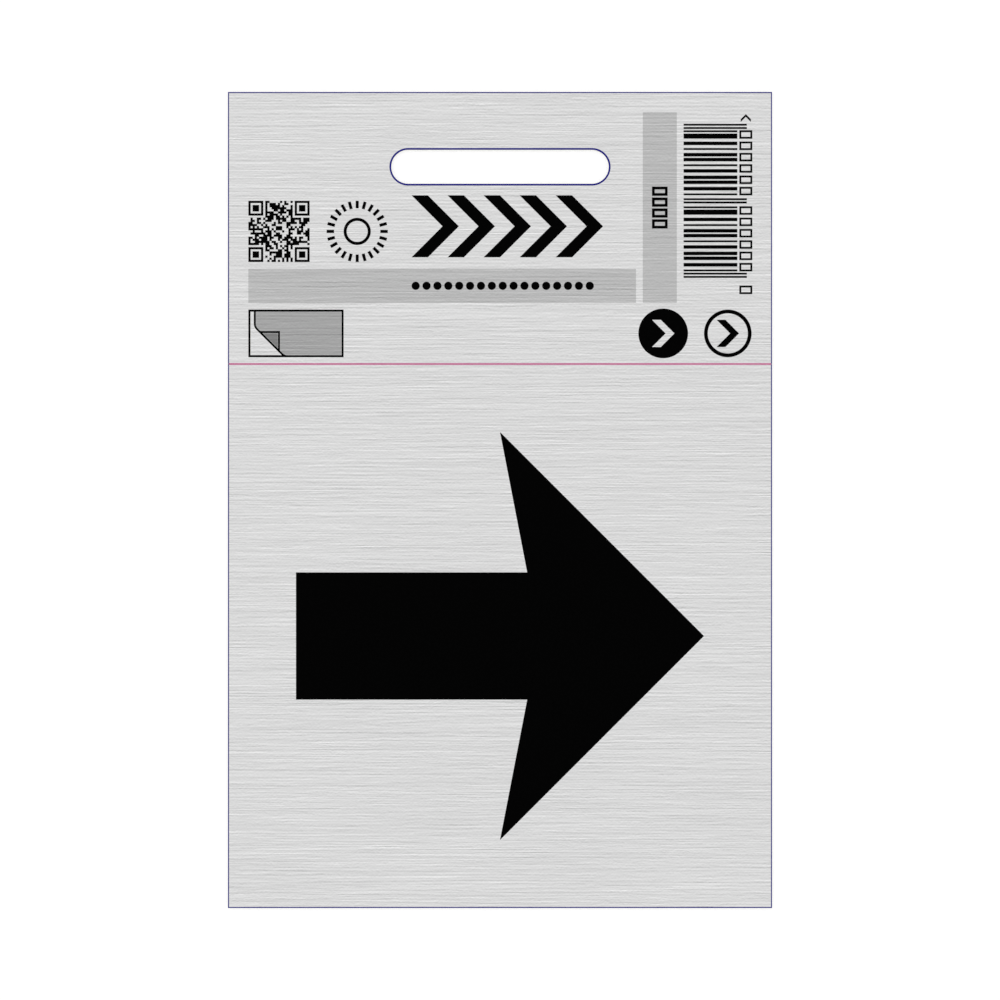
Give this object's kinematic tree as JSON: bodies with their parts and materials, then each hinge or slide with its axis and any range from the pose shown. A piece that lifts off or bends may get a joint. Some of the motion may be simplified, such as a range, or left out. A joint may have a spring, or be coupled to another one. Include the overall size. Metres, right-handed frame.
{
  "type": "self-adhesive arrow sign",
  "caption": "Flat self-adhesive direction sign: a black right-pointing arrow on silver brushed-effect film, on a release liner with a slotted hanging header.",
  "frame": {"origin": "middle of the release liner's underside, the face that the sheet lies on", "axes": "+X to the right of the print, the way the arrow points; +Y up the print, towards the hanging header; +Z out of the printed face"},
  "size_m": [0.08, 0.12, 0.0004],
  "materials": {
    "liner": "white coated release paper",
    "film": "silver film with a fine brushed effect across the width",
    "black_ink": "satin screen-printed black",
    "band_tint": "thin grey tint over the brushed film",
    "sheet_tint": "mid grey tint over the brushed film",
    "flap_tint": "dark grey tint over the brushed film",
    "trim_ink": "dark blue hairline",
    "cut_ink": "pink hairline"
  },
  "bodies": {
    "root": {"release_liner": "liner", "header_film": "film", "sign_film": "film", "arrow_print": "black_ink", "band_print": "band_tint", "bar_block_print": "black_ink", "grid_block_print": "black_ink", "tick_ring_print": "black_ink", "chevron_print": "black_ink", "dot_row_print": "black_ink", "box_row_print": "black_ink", "disc_mark_print": "black_ink", "ring_mark_print": "black_ink", "peel_outline_print": "black_ink", "peel_sheet_print": "sheet_tint", "peel_flap_print": "flap_tint", "trim_line_print": "trim_ink", "cut_line_print": "cut_ink"}
  },
  "joints": []
}
